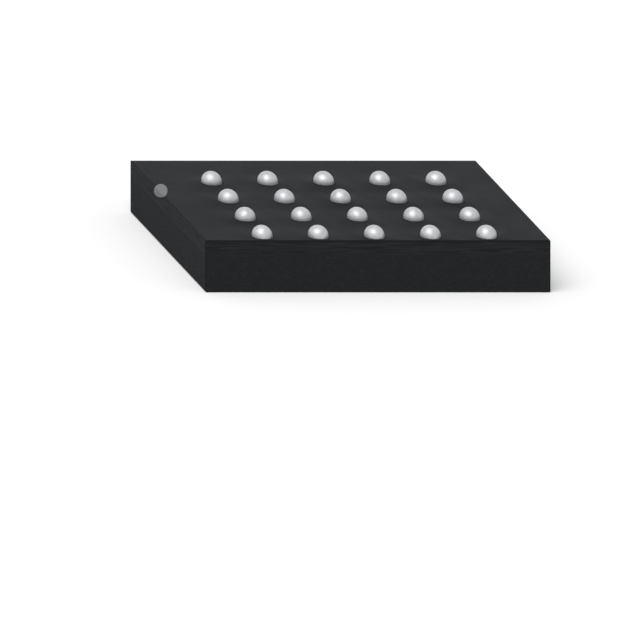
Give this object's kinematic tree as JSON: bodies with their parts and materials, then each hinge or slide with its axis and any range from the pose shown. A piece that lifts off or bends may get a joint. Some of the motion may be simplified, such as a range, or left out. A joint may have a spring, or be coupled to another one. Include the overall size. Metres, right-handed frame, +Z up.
{
  "type": "ball grid array chip",
  "caption": "Flat rectangular ball grid array chip lying on its moulded face: a laminate with rows of solder balls on top, moulded over a wire-bonded die below.",
  "frame": {"origin": "centre of the moulded face that the chip lies on", "axes": "+Z up through the layers to the solder balls, +X along the body's long side, +Y to the back, where the grid leaves its row off"},
  "size_m": [0.0062, 0.0044, 0.0011],
  "materials": {
    "mould_compound": "matte black moulded epoxy",
    "solder_mask": "satin black solder mask",
    "laminate": "sawn black glass laminate",
    "solder": "satin reflowed solder",
    "marking_ink": "matte grey ink",
    "silicon": "polished silicon",
    "die_adhesive": "silver-filled adhesive",
    "pad_metal": "bright pad metal",
    "bond_wire": "drawn gold wire",
    "copper": "plated copper",
    "via_resin": "filled plug resin"
  },
  "bodies": {
    "root": {"ball_lands": "copper", "ball_side_mask": "solder_mask", "bond_wire_a2": "bond_wire", "bond_wire_a3": "bond_wire", "bond_wire_a4": "bond_wire", "bond_wire_a5": "bond_wire", "bond_wire_b2": "bond_wire", "bond_wire_b3": "bond_wire", "bond_wire_b4": "bond_wire", "bond_wire_b5": "bond_wire", "bond_wire_c2": "bond_wire", "bond_wire_c3": "bond_wire", "bond_wire_c4": "bond_wire", "bond_wire_c5": "bond_wire", "bond_wire_d2": "bond_wire", "bond_wire_d3": "bond_wire", "bond_wire_d4": "bond_wire", "bond_wire_d5": "bond_wire", "bond_wire_e2": "bond_wire", "bond_wire_e3": "bond_wire", "bond_wire_e4": "bond_wire", "bond_wire_e5": "bond_wire", "die": "silicon", "die_adhesive": "die_adhesive", "die_bond_pads": "pad_metal", "die_side_copper": "copper", "die_side_mask": "solder_mask", "index_ink_dab": "marking_ink", "laminate_core": "laminate", "mould_cap": "mould_compound", "solder_ball_a2": "solder", "solder_ball_a3": "solder", "solder_ball_a4": "solder", "solder_ball_a5": "solder", "solder_ball_b2": "solder", "solder_ball_b3": "solder", "solder_ball_b4": "solder", "solder_ball_b5": "solder", "solder_ball_c2": "solder", "solder_ball_c3": "solder", "solder_ball_c4": "solder", "solder_ball_c5": "solder", "solder_ball_d2": "solder", "solder_ball_d3": "solder", "solder_ball_d4": "solder", "solder_ball_d5": "solder", "solder_ball_e2": "solder", "solder_ball_e3": "solder", "solder_ball_e4": "solder", "solder_ball_e5": "solder", "via_barrels": "copper", "via_plugs": "via_resin"}
  },
  "joints": []
}
